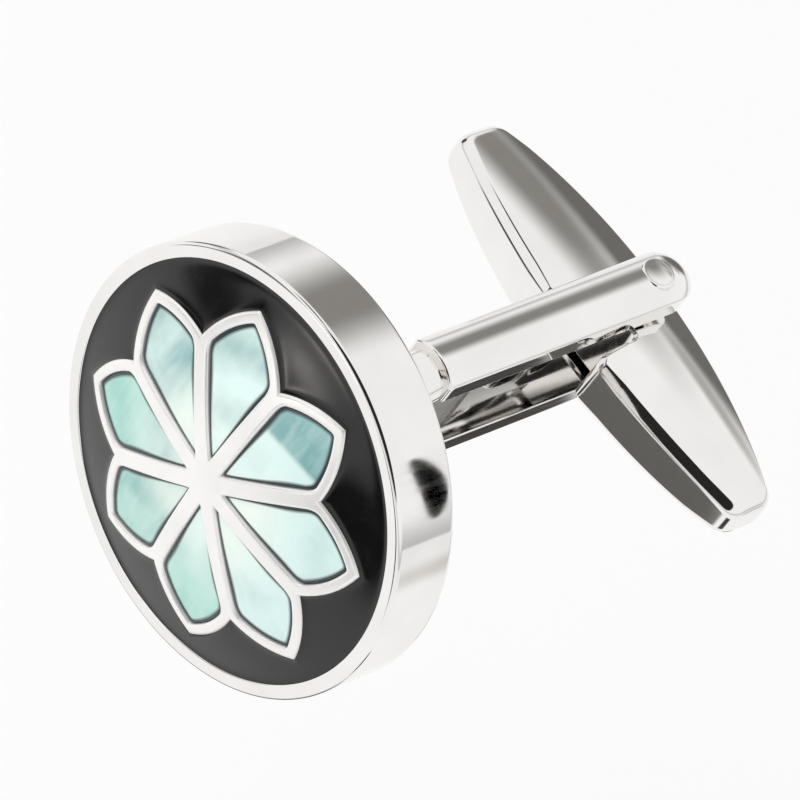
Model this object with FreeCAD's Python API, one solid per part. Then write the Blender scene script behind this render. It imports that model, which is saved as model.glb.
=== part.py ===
import FreeCAD, Part
import math
import os

# Bullet-back cufflink. A domed round head carries a black enamel field and a flower of
# eight shell inlays between raised silver walls. A forked post behind it ends in two
# half-round arms, and a boat-shaped toggle swings on a pin between them.
#
# Frame, in millimetres: Y runs along the post from the head to the toggle, X along the
# toggle when it lies across the post, Z along the hinge pin. The origin is on the post's
# axis, in the plane of the back of the head's rim.

# Head
head_diameter = 17.0
rim_height = 2.85
rim_land = 0.6
rim_front_round = 0.18
rim_back_round = 0.25
back_land = 0.2
dish_depth = 2.6
face_rise = 1.25
enamel_sink = 0.06
cell_depth = 0.45
fret_proud = 0.1
inlay_sink = 0.05

# Flower
petal_count = 8
tip_margin = 0.85
point_height = 1.7
petal_bulge = 0.25
fret_wall = 0.45
spoke_width = 0.7
inlay_root_round = 0.12
inlay_shoulder_round = 0.35
inlay_tip_round = 0.2

# Post
post_length = 17.2
arm_width = 2.3
arm_side_height = 0.85
arm_dome = 0.55
arm_gap = 3.7
arm_overhang = 1.75
arm_edge_round = 0.2
neck_width = 2.0
neck_thickness = 1.05
neck_round_share = 0.8
neck_seat = 1.4
collar_wall = 0.26
collar_height = 0.8
collar_groove = 0.08
foot_height = 2.45
foot_base_x = 3.6
foot_base_z = 3.8
foot_waist_share = 0.3
foot_corner_share = 0.6

# Hinge pin
pin_diameter = 1.0
pin_head_diameter = 1.4
pin_head_proud = 0.06
pin_head_round = 0.12
pin_clearance = 0.03

# Toggle
toggle_length = 18.2
toggle_side_clearance = 0.2
toggle_tip_width = 1.7
toggle_deck_height = 3.2
toggle_outer_height = 1.9
toggle_tip_offset = 0.65
toggle_tip_depth = 2.1
toggle_nose_round = 0.75
toggle_edge_bevel = 0.25
toggle_flank_radius = 6.0
notch_side_clearance = 0.25
notch_shoulder_round = 0.5
hub_wall = 0.75
dimple_diameter = 0.5
dimple_depth = 0.3

# Detent between the arms
detent_clearance = 0.2
detent_space = 2.05
block_neck_reach = 0.8
block_side_margin = 0.2
spring_thickness = 0.2
spring_side_margin = 0.35
spring_bump = 0.3
spring_bump_width = 0.8
rivet_diameter = 0.5
rivet_head_diameter = 0.8
rivet_head_height = 0.14
rivet_depth = 0.7

# One overrun for cuts and joins, and how near an edge passes to be picked for a round
overrun = 0.5
pick_tolerance = 0.03
parallel_share = 0.1

# Worked out from the sizes above
head_r = head_diameter / 2
cell_r = head_r - rim_land
face_edge_y = -(rim_height - enamel_sink)
face_radius = (cell_r ** 2 + face_rise ** 2) / (2 * face_rise)
face_centre_y = face_edge_y - face_rise + face_radius
floor_radius = face_radius - cell_depth
fret_radius = face_radius + fret_proud
inlay_radius = face_radius - inlay_sink
dish_edge_r = head_r - rim_back_round - back_land
dish_radius = (dish_edge_r ** 2 + dish_depth ** 2) / (2 * dish_depth)
dish_centre_y = dish_radius - dish_depth
front_y = face_edge_y - face_rise - fret_proud

half_petal = math.pi / petal_count
tip_r = cell_r - tip_margin
valley_r = tip_r - point_height

pivot_y = post_length
collar_y = foot_height - dish_depth
neck_y = collar_y + collar_height
arm_inner_z = arm_gap / 2
arm_side_z = arm_inner_z + arm_side_height
arm_outer_z = arm_side_z + arm_dome
arm_dome_radius = ((arm_width / 2) ** 2 + arm_dome ** 2) / (2 * arm_dome)
collar_x = neck_width + 2 * collar_wall
collar_z = 2 * (neck_thickness + collar_wall)

toggle_half = toggle_length / 2
toggle_width = arm_gap - 2 * toggle_side_clearance
toggle_deck_y = pivot_y - toggle_deck_height
toggle_outer_y = pivot_y + toggle_outer_height
tip_y = pivot_y - toggle_tip_offset
tip_deck_y = tip_y - toggle_tip_depth / 2
tip_outer_y = tip_y + toggle_tip_depth / 2
tip_reach = max(pivot_y - tip_deck_y, tip_outer_y - pivot_y)
toggle_sweep = math.hypot(toggle_half, tip_reach)

spring_top_y = pivot_y - toggle_sweep - detent_clearance
spring_seat_y = spring_top_y - spring_bump - spring_thickness
step_y = spring_top_y - detent_space
block_start_y = step_y - block_neck_reach
neck_lean = math.atan2(arm_inner_z, step_y - neck_y)
neck_round = neck_round_share * neck_thickness * math.cos(neck_lean)


def vec(x, y, z):
    return FreeCAD.Vector(x, y, z)


def line(a, b):
    return Part.LineSegment(a, b).toShape()


def arc(a, b, c):
    return Part.Arc(a, b, c).toShape()


def face_of(edges):
    return Part.Face(Part.Wire(edges))


def ball(radius, centre_y):
    return Part.makeSphere(radius, vec(0, centre_y, 0))


def round_inset(radius):
    """How far the middle of a quarter round stands in from both lines that it joins."""
    return radius * (1 - math.sqrt(2) / 2)


def edges_through(solid, points, along):
    """The edges that run along a direction and pass through one of the points."""
    found = []
    for edge in solid.Edges:
        ends = edge.Vertexes
        if len(ends) < 2:
            continue
        run = ends[1].Point - ends[0].Point
        if run.cross(along).Length > parallel_share * run.Length * along.Length:
            continue
        if any(edge.distToShape(Part.Vertex(point))[0] < pick_tolerance for point in points):
            found.append(edge)
    return found


# Head

def head_shell():
    """Rim, cell floor and dished back turned about the post's axis as one profile."""
    front = -rim_height
    floor_edge_y = face_centre_y - math.sqrt(floor_radius ** 2 - cell_r ** 2)
    floor_mid_r = cell_r / 2
    floor_mid_y = face_centre_y - math.sqrt(floor_radius ** 2 - floor_mid_r ** 2)
    dish_mid_r = dish_edge_r / 2
    dish_mid_y = dish_centre_y - math.sqrt(dish_radius ** 2 - dish_mid_r ** 2)
    corner_in = round_inset(rim_front_round)
    corner_back = round_inset(rim_back_round)
    nose = vec(0, face_centre_y - floor_radius, 0)
    floor_edge = vec(cell_r, floor_edge_y, 0)
    land_in = vec(cell_r, front, 0)
    land_out = vec(head_r - rim_front_round, front, 0)
    front_mid = vec(head_r - corner_in, front + corner_in, 0)
    side_front = vec(head_r, front + rim_front_round, 0)
    side_back = vec(head_r, -rim_back_round, 0)
    back_mid = vec(head_r - corner_back, -corner_back, 0)
    back_out = vec(head_r - rim_back_round, 0, 0)
    dish_edge = vec(dish_edge_r, 0, 0)
    dish_centre = vec(0, -dish_depth, 0)
    profile = face_of([
        arc(nose, vec(floor_mid_r, floor_mid_y, 0), floor_edge),
        line(floor_edge, land_in),
        line(land_in, land_out),
        arc(land_out, front_mid, side_front),
        line(side_front, side_back),
        arc(side_back, back_mid, back_out),
        line(back_out, dish_edge),
        arc(dish_edge, vec(dish_mid_r, dish_mid_y, 0), dish_centre),
        line(dish_centre, nose),
    ])
    return profile.revolve(vec(0, 0, 0), vec(0, 1, 0), 360)


def on_face(radius, angle, turn=0):
    """A point of the flower's plan, at a radius and an angle from the petal's axis."""
    return vec(radius * math.cos(angle + turn), front_y - overrun, radius * math.sin(angle + turn))


def petal_arc_centre():
    """Centre and radius of the arc from a valley to a petal's tip, petal along +X."""
    valley = on_face(valley_r, half_petal)
    tip = on_face(tip_r, 0)
    chord = tip - valley
    outward = vec(-chord.z, 0, chord.x).normalize()
    if outward.dot(valley) < 0:
        outward = -outward
    radius = ((chord.Length / 2) ** 2 + petal_bulge ** 2) / (2 * petal_bulge)
    middle = (valley + tip) / 2
    return middle + outward * (petal_bulge - radius), radius, middle + outward * petal_bulge


def flower_prism():
    """The flower's outline, two arcs to a petal, drawn right through the head."""
    bulge = petal_arc_centre()[2]
    bulge_r = math.hypot(bulge.x, bulge.z)
    bulge_angle = math.atan2(bulge.z, bulge.x)
    edges = []
    for number in range(petal_count):
        turn = (2 * number + 1) * half_petal
        tip = on_face(tip_r, 0, turn)
        first = on_face(valley_r, -half_petal, turn)
        last = on_face(valley_r, half_petal, turn)
        edges.append(arc(first, on_face(bulge_r, -bulge_angle, turn), tip))
        edges.append(arc(tip, on_face(bulge_r, bulge_angle, turn), last))
    return face_of(edges).extrude(vec(0, -front_y + 2 * overrun, 0))


def inlay_prism():
    """One inlay's cell, inside the wall and the two spokes, petal along +X."""
    centre, radius, bulge = petal_arc_centre()
    inner = radius - fret_wall
    base_y = front_y - overrun
    root = vec(spoke_width / 2 / math.sin(half_petal), base_y, 0)
    tip = vec(centre.x + math.sqrt(inner ** 2 - centre.z ** 2), base_y, 0)
    side = vec(math.cos(half_petal), 0, math.sin(half_petal))
    offset = root - centre
    along = offset.dot(side)
    reach = -along + math.sqrt(along ** 2 - offset.Length ** 2 + inner ** 2)
    shoulder = root + side * reach
    start = math.atan2(shoulder.z - centre.z, shoulder.x - centre.x)
    end = math.atan2(tip.z - centre.z, tip.x - centre.x)
    half_way = (start + end) / 2
    mid = centre + vec(inner * math.cos(half_way), 0, inner * math.sin(half_way))
    shoulder_low = vec(shoulder.x, base_y, -shoulder.z)
    mid_low = vec(mid.x, base_y, -mid.z)
    outline = face_of([
        line(root, shoulder),
        arc(shoulder, mid, tip),
        arc(tip, mid_low, shoulder_low),
        line(shoulder_low, root),
    ])
    depth = vec(0, -front_y + 2 * overrun, 0)
    cell = outline.extrude(depth)
    for points, size in (([root], inlay_root_round), ([tip], inlay_tip_round),
                         ([shoulder, shoulder_low], inlay_shoulder_round)):
        cell = cell.makeFillet(size, edges_through(cell, points, depth))
    return cell


def turned(shape, number):
    """A copy of a petal's shape turned to the place of that number."""
    copy = shape.copy()
    copy.rotate(vec(0, 0, 0), vec(0, 1, 0), -math.degrees((2 * number + 1) * half_petal))
    return copy


def face_layer(plan, top_radius):
    """The part of a plan prism between the cell floor and a domed top."""
    layer = ball(top_radius, face_centre_y).cut(ball(floor_radius, face_centre_y))
    return plan.common(layer)


def enamel_ground():
    disc = Part.makeCylinder(cell_r, -front_y + overrun, vec(0, front_y - overrun, 0), vec(0, 1, 0))
    return face_layer(disc.cut(flower_prism()), face_radius)


def flower_fret(inlay):
    plan = flower_prism()
    for number in range(petal_count):
        plan = plan.cut(turned(inlay, number))
    return face_layer(plan, fret_radius)


# Post

def rounded_oblong(size_x, size_z, y, corner):
    """A rectangle with round corners, square to the post's axis."""
    hx = size_x / 2
    hz = size_z / 2
    ix = hx - corner
    iz = hz - corner
    cut = round_inset(corner)
    edges = []
    for sx, sz in ((1, 1), (-1, 1), (-1, -1), (1, -1)):
        on_side = vec(sx * hx, y, sz * iz)
        on_end = vec(sx * ix, y, sz * hz)
        middle = vec(sx * (hx - cut), y, sz * (hz - cut))
        ends = (on_side, on_end) if sx * sz > 0 else (on_end, on_side)
        edges.append(arc(ends[0], middle, ends[1]))
    wired = []
    for number, edge in enumerate(edges):
        following = edges[(number + 1) % len(edges)]
        wired.append(edge)
        wired.append(line(edge.Vertexes[1].Point, following.Vertexes[0].Point))
    return Part.Wire(wired)


def corner_of(size_x, size_z):
    return foot_corner_share * min(size_x, size_z) / 2


def post_foot(arms):
    """Flared saddle seated in the dish, with a socket for the two necks."""
    waist_y = collar_y - foot_waist_share * foot_height
    waist_x = collar_x + foot_waist_share ** 2 * (foot_base_x - collar_x)
    waist_z = collar_z + foot_waist_share ** 2 * (foot_base_z - collar_z)
    base_y = -dish_depth - overrun
    flare = Part.makeLoft([
        rounded_oblong(foot_base_x, foot_base_z, base_y, corner_of(foot_base_x, foot_base_z)),
        rounded_oblong(waist_x, waist_z, waist_y, corner_of(waist_x, waist_z)),
        rounded_oblong(collar_x, collar_z, collar_y, corner_of(collar_x, collar_z)),
    ], True)
    return flare.common(ball(dish_radius, dish_centre_y)).cut(arms)


def crimp_collar(arms):
    """Band round the two necks, with one groove rolled into it."""
    band = face_of(rounded_oblong(collar_x, collar_z, collar_y, corner_of(collar_x, collar_z)).Edges)
    band = band.extrude(vec(0, collar_height, 0))
    groove_y = collar_y + collar_height / 2 - collar_groove
    outer = Part.makeBox(2 * collar_x, 2 * collar_groove, 2 * collar_z,
                         vec(-collar_x, groove_y, -collar_z))
    core_x = collar_x - 2 * collar_groove
    core_z = collar_z - 2 * collar_groove
    core = face_of(rounded_oblong(core_x, core_z, groove_y, corner_of(core_x, core_z)).Edges)
    core = core.extrude(vec(0, 2 * collar_groove, 0))
    return band.cut(outer.cut(core)).cut(arms)


def arm_neck():
    """Strip from the foot's socket that leans out to the arm, half round outside."""
    left = -neck_width / 2
    across = vec(neck_width, 0, 0)
    inner = [
        vec(left, collar_y - neck_seat, 0),
        vec(left, neck_y, 0),
        vec(left, step_y, arm_inner_z),
        vec(left, step_y + overrun, arm_inner_z),
    ]
    outer = [point + vec(0, 0, neck_thickness) for point in inner]
    loop = inner + outer[::-1]
    strip = face_of([line(loop[i - 1], loop[i]) for i in range(len(loop))]).extrude(across)
    corners = []
    for start, end in zip(outer, outer[1:]):
        middle = (start + end) / 2
        corners += edges_through(strip, [middle, middle + across], end - start)
    return strip.makeFillet(neck_round, corners)


def arm_bar():
    """Bar with a domed outer face, square at the heel and round past the pivot."""
    half = arm_width / 2
    round_y = pivot_y + arm_overhang - half
    section = face_of([
        line(vec(-half, step_y, arm_inner_z), vec(half, step_y, arm_inner_z)),
        line(vec(half, step_y, arm_inner_z), vec(half, step_y, arm_side_z)),
        arc(vec(half, step_y, arm_side_z), vec(0, step_y, arm_outer_z), vec(-half, step_y, arm_side_z)),
        line(vec(-half, step_y, arm_side_z), vec(-half, step_y, arm_inner_z)),
    ])
    lean = math.asin(half / arm_dome_radius) / 2
    dome_mid = vec(arm_dome_radius * math.sin(lean), round_y,
                   arm_outer_z - arm_dome_radius * (1 - math.cos(lean)))
    half_section = face_of([
        line(vec(0, round_y, arm_inner_z), vec(half, round_y, arm_inner_z)),
        line(vec(half, round_y, arm_inner_z), vec(half, round_y, arm_side_z)),
        arc(vec(half, round_y, arm_side_z), dome_mid, vec(0, round_y, arm_outer_z)),
        line(vec(0, round_y, arm_outer_z), vec(0, round_y, arm_inner_z)),
    ])
    tip = half_section.revolve(vec(0, round_y, 0), vec(0, 0, 1), 180)
    bar = section.extrude(vec(0, round_y - step_y, 0)).fuse(tip).removeSplitter()
    ridge = [edge for edge in bar.Edges
             if edge.BoundBox.ZMin > arm_side_z - pick_tolerance
             and edge.BoundBox.ZMax < arm_side_z + pick_tolerance]
    return bar.makeFillet(arm_edge_round, ridge)


def pin_shank(top):
    """The pin's round shank, up to a height on both sides of the middle."""
    return Part.makeCylinder(pin_diameter / 2, 2 * top, vec(0, pivot_y, -top))


def arm_upper():
    blank = arm_bar().fuse(arm_neck()).removeSplitter()
    return blank.cut(pin_shank(arm_outer_z + overrun))


def turned_over(shape):
    """A copy of a shape turned half way round the post's axis."""
    copy = shape.copy()
    copy.rotate(vec(0, 0, 0), vec(0, 1, 0), 180)
    return copy


def hinge_pin(arms):
    """Shank through both arms and the toggle, with a flat head closed on each dome."""
    top = arm_outer_z + pin_head_proud
    base = arm_side_z
    head = Part.makeCylinder(pin_head_diameter / 2, top - base, vec(0, pivot_y, base))
    rim = [edge for edge in head.Edges if edge.BoundBox.ZMin > top - pick_tolerance]
    head = head.makeFillet(pin_head_round, rim)
    shank = pin_shank(top - pin_head_round)
    return shank.fuse([head, turned_over(head)]).cut(arms)


# Detent

def detent_block():
    """Block that fills the fork where the arms come together, and carries the spring."""
    left = -(arm_width / 2 - block_side_margin)
    start_z = arm_inner_z * (block_start_y - neck_y) / (step_y - neck_y)
    upper = [
        vec(left, block_start_y, start_z),
        vec(left, step_y, arm_inner_z),
        vec(left, spring_seat_y, arm_inner_z),
    ]
    loop = upper + [vec(left, point.y, -point.z) for point in upper[::-1]]
    outline = face_of([line(loop[i - 1], loop[i]) for i in range(len(loop))])
    return outline.extrude(vec(-2 * left, 0, 0))


def spring_rivet():
    reach = rivet_depth + spring_thickness
    place = vec(-toggle_tip_offset, spring_seat_y - rivet_depth, 0)
    shank = Part.makeCylinder(rivet_diameter / 2, reach, place, vec(0, 1, 0))
    seat = vec(-toggle_tip_offset, spring_seat_y + spring_thickness, 0)
    head = Part.makeCylinder(rivet_head_diameter / 2, rivet_head_height, seat, vec(0, 1, 0))
    return shank.fuse(head).removeSplitter()


def detent_spring():
    """Leaf with one bump, which stands where the toggle's dimple comes to rest."""
    half_x = arm_width / 2 - block_side_margin
    half_z = arm_inner_z - spring_side_margin
    low = spring_seat_y
    high = low + spring_thickness
    bump_x = toggle_tip_offset
    wide = spring_bump_width / 2
    narrow = wide - spring_thickness
    edges = [
        line(vec(-half_x, low, -half_z), vec(bump_x - narrow, low, -half_z)),
        arc(vec(bump_x - narrow, low, -half_z), vec(bump_x, low + spring_bump, -half_z),
            vec(bump_x + narrow, low, -half_z)),
        line(vec(bump_x + narrow, low, -half_z), vec(half_x, low, -half_z)),
        line(vec(half_x, low, -half_z), vec(half_x, high, -half_z)),
        line(vec(half_x, high, -half_z), vec(bump_x + wide, high, -half_z)),
        arc(vec(bump_x + wide, high, -half_z), vec(bump_x, high + spring_bump, -half_z),
            vec(bump_x - wide, high, -half_z)),
        line(vec(bump_x - wide, high, -half_z), vec(-half_x, high, -half_z)),
        line(vec(-half_x, high, -half_z), vec(-half_x, low, -half_z)),
    ]
    return face_of(edges).extrude(vec(0, 0, 2 * half_z))


# Toggle

def flank_slab():
    """Slab with one barrel side: an arc across the flank, swung about a far axis along Y."""
    half = toggle_width / 2
    bow = half - toggle_tip_width / 2
    plan_radius = (toggle_half ** 2 + bow ** 2) / (2 * bow)
    low_y = toggle_deck_y - overrun
    high_y = toggle_outer_y + overrun
    low_z = half - toggle_flank_radius + math.sqrt(toggle_flank_radius ** 2 - (low_y - tip_y) ** 2)
    high_z = half - toggle_flank_radius + math.sqrt(toggle_flank_radius ** 2 - (high_y - tip_y) ** 2)
    profile = face_of([
        line(vec(0, low_y, -toggle_width), vec(0, low_y, low_z)),
        arc(vec(0, low_y, low_z), vec(0, tip_y, half), vec(0, high_y, high_z)),
        line(vec(0, high_y, high_z), vec(0, high_y, -toggle_width)),
        line(vec(0, high_y, -toggle_width), vec(0, low_y, -toggle_width)),
    ])
    centre = vec(0, 0, half - plan_radius)
    reach = math.degrees(math.asin((toggle_half + overrun) / (plan_radius - toggle_width)))
    slab = profile.revolve(centre, vec(0, 1, 0), 2 * reach)
    slab.rotate(centre, vec(0, 1, 0), -reach)
    return slab


def toggle_blank():
    """Boat shape: a lens seen along the pin, between two barrel flanks."""
    low = -toggle_width
    ends = [
        vec(-toggle_half, tip_deck_y, low), vec(toggle_half, tip_deck_y, low),
        vec(toggle_half, tip_outer_y, low), vec(-toggle_half, tip_outer_y, low),
    ]
    side = face_of([
        arc(ends[0], vec(0, toggle_deck_y, low), ends[1]),
        line(ends[1], ends[2]),
        arc(ends[2], vec(0, toggle_outer_y, low), ends[3]),
        line(ends[3], ends[0]),
    ]).extrude(vec(0, 0, 2 * toggle_width))
    side = side.makeFillet(toggle_nose_round, edges_through(side, ends, vec(0, 0, toggle_width)))
    flank = flank_slab()
    return side.common(flank).common(turned_over(flank))


def long_edges(blank):
    """The two long edges on the deck side, from which a bevel runs on round the noses."""
    found = []
    for edge in blank.Edges:
        middle_y = edge.valueAt((edge.FirstParameter + edge.LastParameter) / 2).y
        if edge.BoundBox.XLength > toggle_half and middle_y < tip_y:
            found.append(edge)
    return found


def notch_cutter():
    """Gap in the deck over the hub, with round shoulders."""
    half = arm_width / 2 + notch_side_clearance
    wide = half + notch_shoulder_round
    floor = pivot_y - pin_diameter / 2 - hub_wall
    shoulder = toggle_deck_y + notch_shoulder_round
    top = toggle_deck_y - overrun
    low = -toggle_width
    bend = round_inset(notch_shoulder_round)
    edges = [
        line(vec(-half, floor, low), vec(half, floor, low)),
        line(vec(half, floor, low), vec(half, shoulder, low)),
        arc(vec(half, shoulder, low), vec(half + bend, toggle_deck_y + bend, low),
            vec(wide, toggle_deck_y, low)),
        line(vec(wide, toggle_deck_y, low), vec(wide, top, low)),
        line(vec(wide, top, low), vec(-wide, top, low)),
        line(vec(-wide, top, low), vec(-wide, toggle_deck_y, low)),
        arc(vec(-wide, toggle_deck_y, low), vec(-half - bend, toggle_deck_y + bend, low),
            vec(-half, shoulder, low)),
        line(vec(-half, shoulder, low), vec(-half, floor, low)),
    ]
    return face_of(edges).extrude(vec(0, 0, 2 * toggle_width))


def toggle_bar():
    blank = toggle_blank()
    bar = blank.makeChamfer(toggle_edge_bevel, long_edges(blank))
    bore = Part.makeCylinder(pin_diameter / 2 + pin_clearance, 2 * toggle_width,
                             vec(0, pivot_y, -toggle_width))
    dimple = Part.makeCylinder(dimple_diameter / 2, dimple_depth + overrun,
                               vec(-toggle_half - overrun, tip_y, 0), vec(1, 0, 0))
    return bar.cut(notch_cutter()).cut(bore).cut(dimple)


def main():
    os.makedirs("parts", exist_ok=True)
    inlay = inlay_prism()
    upper = arm_upper()
    lower = turned_over(upper)
    arms = [upper, lower]
    rivet = spring_rivet()
    parts = {
        "head_shell": head_shell(),
        "enamel_ground": enamel_ground(),
        "flower_fret": flower_fret(inlay),
        "post_foot": post_foot(arms),
        "crimp_collar": crimp_collar(arms),
        "arm_upper": upper,
        "arm_lower": lower,
        "detent_block": detent_block().cut(rivet),
        "detent_spring": detent_spring().cut(rivet),
        "spring_rivet": rivet,
        "hinge_pin": hinge_pin(arms),
        "toggle_bar": toggle_bar(),
    }
    petal = face_layer(inlay, inlay_radius)
    for number in range(petal_count):
        parts["petal_inlay_%d" % (number + 1)] = turned(petal, number)
    for name, shape in parts.items():
        shape.exportStep("parts/%s.step" % name)
        print(name, len(shape.Solids), round(shape.Volume, 3), shape.isValid())


main()
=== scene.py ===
import math

import bmesh
import bpy
import numpy as np
from bpy.props import FloatProperty, FloatVectorProperty
from mathutils import Matrix, Vector


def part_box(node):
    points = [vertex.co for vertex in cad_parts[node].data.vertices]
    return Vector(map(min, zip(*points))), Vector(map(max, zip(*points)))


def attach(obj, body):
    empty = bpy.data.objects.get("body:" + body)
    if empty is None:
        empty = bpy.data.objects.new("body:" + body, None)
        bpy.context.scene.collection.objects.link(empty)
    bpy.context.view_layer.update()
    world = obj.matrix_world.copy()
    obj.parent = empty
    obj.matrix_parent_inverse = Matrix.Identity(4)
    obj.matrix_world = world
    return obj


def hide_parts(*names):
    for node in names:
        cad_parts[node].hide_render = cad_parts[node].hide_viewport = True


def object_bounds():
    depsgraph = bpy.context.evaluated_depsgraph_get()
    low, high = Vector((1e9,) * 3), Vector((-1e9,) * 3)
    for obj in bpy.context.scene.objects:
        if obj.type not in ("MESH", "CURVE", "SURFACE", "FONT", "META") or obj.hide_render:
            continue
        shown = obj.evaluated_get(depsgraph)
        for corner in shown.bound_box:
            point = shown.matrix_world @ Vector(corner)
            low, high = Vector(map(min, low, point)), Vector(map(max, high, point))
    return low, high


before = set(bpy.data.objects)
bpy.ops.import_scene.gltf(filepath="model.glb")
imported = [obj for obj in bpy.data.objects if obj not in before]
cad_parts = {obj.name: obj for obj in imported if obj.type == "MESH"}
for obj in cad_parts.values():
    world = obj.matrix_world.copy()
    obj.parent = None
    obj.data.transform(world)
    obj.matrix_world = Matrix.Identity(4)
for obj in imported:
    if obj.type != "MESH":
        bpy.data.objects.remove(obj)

bl_info = {
    "name": "Bullet-back cufflink",
    "version": (1, 0, 0),
    "blender": (4, 5, 0),
    "location": "3D View > Sidebar > Cufflink",
    "description": "Dresses a packed cufflink: polished head, enamel, shell flower, forked post and toggle",
    "category": "Object",
}

MM = 0.001
CAD_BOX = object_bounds()
FLOOR_Z = CAD_BOX[0][2] - 30 * MM
POST_BODY = "head_and_post"
TOGGLE_BODY = "toggle"
PETALS = 8
HALF_PETAL = math.pi / PETALS

# Points round each half of a toggle's nose
NOSE_STEPS = 24

# Axes of the photograph's view in the part's frame, and the point in the middle of the picture
VIEW_RIGHT = Vector((0.558, 0.708, 0.433)).normalized()
VIEW_UP = Vector((-0.781, 0.271, 0.563)).normalized()
VIEW_BACK = VIEW_RIGHT.cross(VIEW_UP).normalized()
VIEW_POINT = Vector((1.354, 2.159, 4.043)) * MM


def span_of(node, axis):
    """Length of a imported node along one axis, in metres."""
    low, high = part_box(node)
    return high[axis] - low[axis]


def length(name, description, metres):
    """A length on the panel."""
    return FloatProperty(name=name, description=description, default=metres, min=0.0, precision=5,
                         subtype="DISTANCE", unit="LENGTH")


def colour(name, description, value):
    """A colour on the panel."""
    return FloatVectorProperty(name=name, description=description, default=value, size=3, min=0.0, max=1.0,
                               subtype="COLOR")


class CufflinkSizes(bpy.types.PropertyGroup):
    """Sizes of the cufflink that a maker would change."""

    head_diameter: length("Head diameter", "Across the rim", span_of("head_shell", 0))
    rim_height: length("Rim height", "Side of the head from back to front", 2.85 * MM)
    rim_land: length("Rim land", "Width of the bright border round the enamel", 0.6 * MM)
    face_rise: length("Face rise", "Height of the enamel's dome over its edge", 1.25 * MM)
    dish_depth: length("Dish depth", "Hollow of the head's back", 2.6 * MM)
    wall_width: length("Wall width", "Metal wall round a petal", 0.45 * MM)
    spoke_width: length("Spoke width", "Metal between two petals", 0.7 * MM)
    wall_proud: length("Wall proud", "How far the flower's metal stands over the enamel", 0.1 * MM)
    post_length: length("Post length", "From the rim's back plane to the pin", 17.2 * MM)
    arm_width: length("Arm width", "Across one arm of the post", span_of("arm_upper", 0))
    arm_gap: length("Arm gap", "Between the two arms", 3.7 * MM)
    toggle_length: length("Toggle length", "From tip to tip", span_of("toggle_bar", 0))


class CufflinkColours(bpy.types.PropertyGroup):
    """Colours of the cufflink's finishes and of the stage."""

    silver: colour("Plated metal", "Bright polished plating", (0.92, 0.905, 0.885))
    enamel: colour("Enamel", "Black glossy enamel", (0.004, 0.004, 0.004))
    shell_pale: colour("Shell, pale", "Lightest bands of the inlays", (0.7, 0.88, 0.85))
    shell_aqua: colour("Shell, aqua", "Main tone of the inlays", (0.5, 0.67, 0.64))
    shell_deep: colour("Shell, deep", "Darkest flame of the inlays", (0.2, 0.4, 0.4))
    shell_green: colour("Shell, green", "Cast of green in the inlays", (0.35, 0.69, 0.58))
    shell_cream: colour("Shell, cream", "Warm white of the inlays near the middle", (0.87, 0.95, 0.87))
    # Painted shade: this seam colour darkens each inlay along its edge, standing for the shadow of its wall
    # over the sunk inlay.
    seam: colour("Seam", "Dark line where an inlay meets its wall", (0.03, 0.045, 0.05))
    steel: colour("Bare steel", "Block between the arms", (0.46, 0.43, 0.39))
    spring: colour("Spring steel", "Leaf and rivet between the arms", (0.62, 0.61, 0.6))
    floor: colour("Floor", "Pale floor and background", (0.955, 0.955, 0.955))


def arc_radius(half_chord, sag):
    """Radius of the circle whose arc has half a chord and a sagitta."""
    return (half_chord ** 2 + sag ** 2) / (2 * sag)


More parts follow.
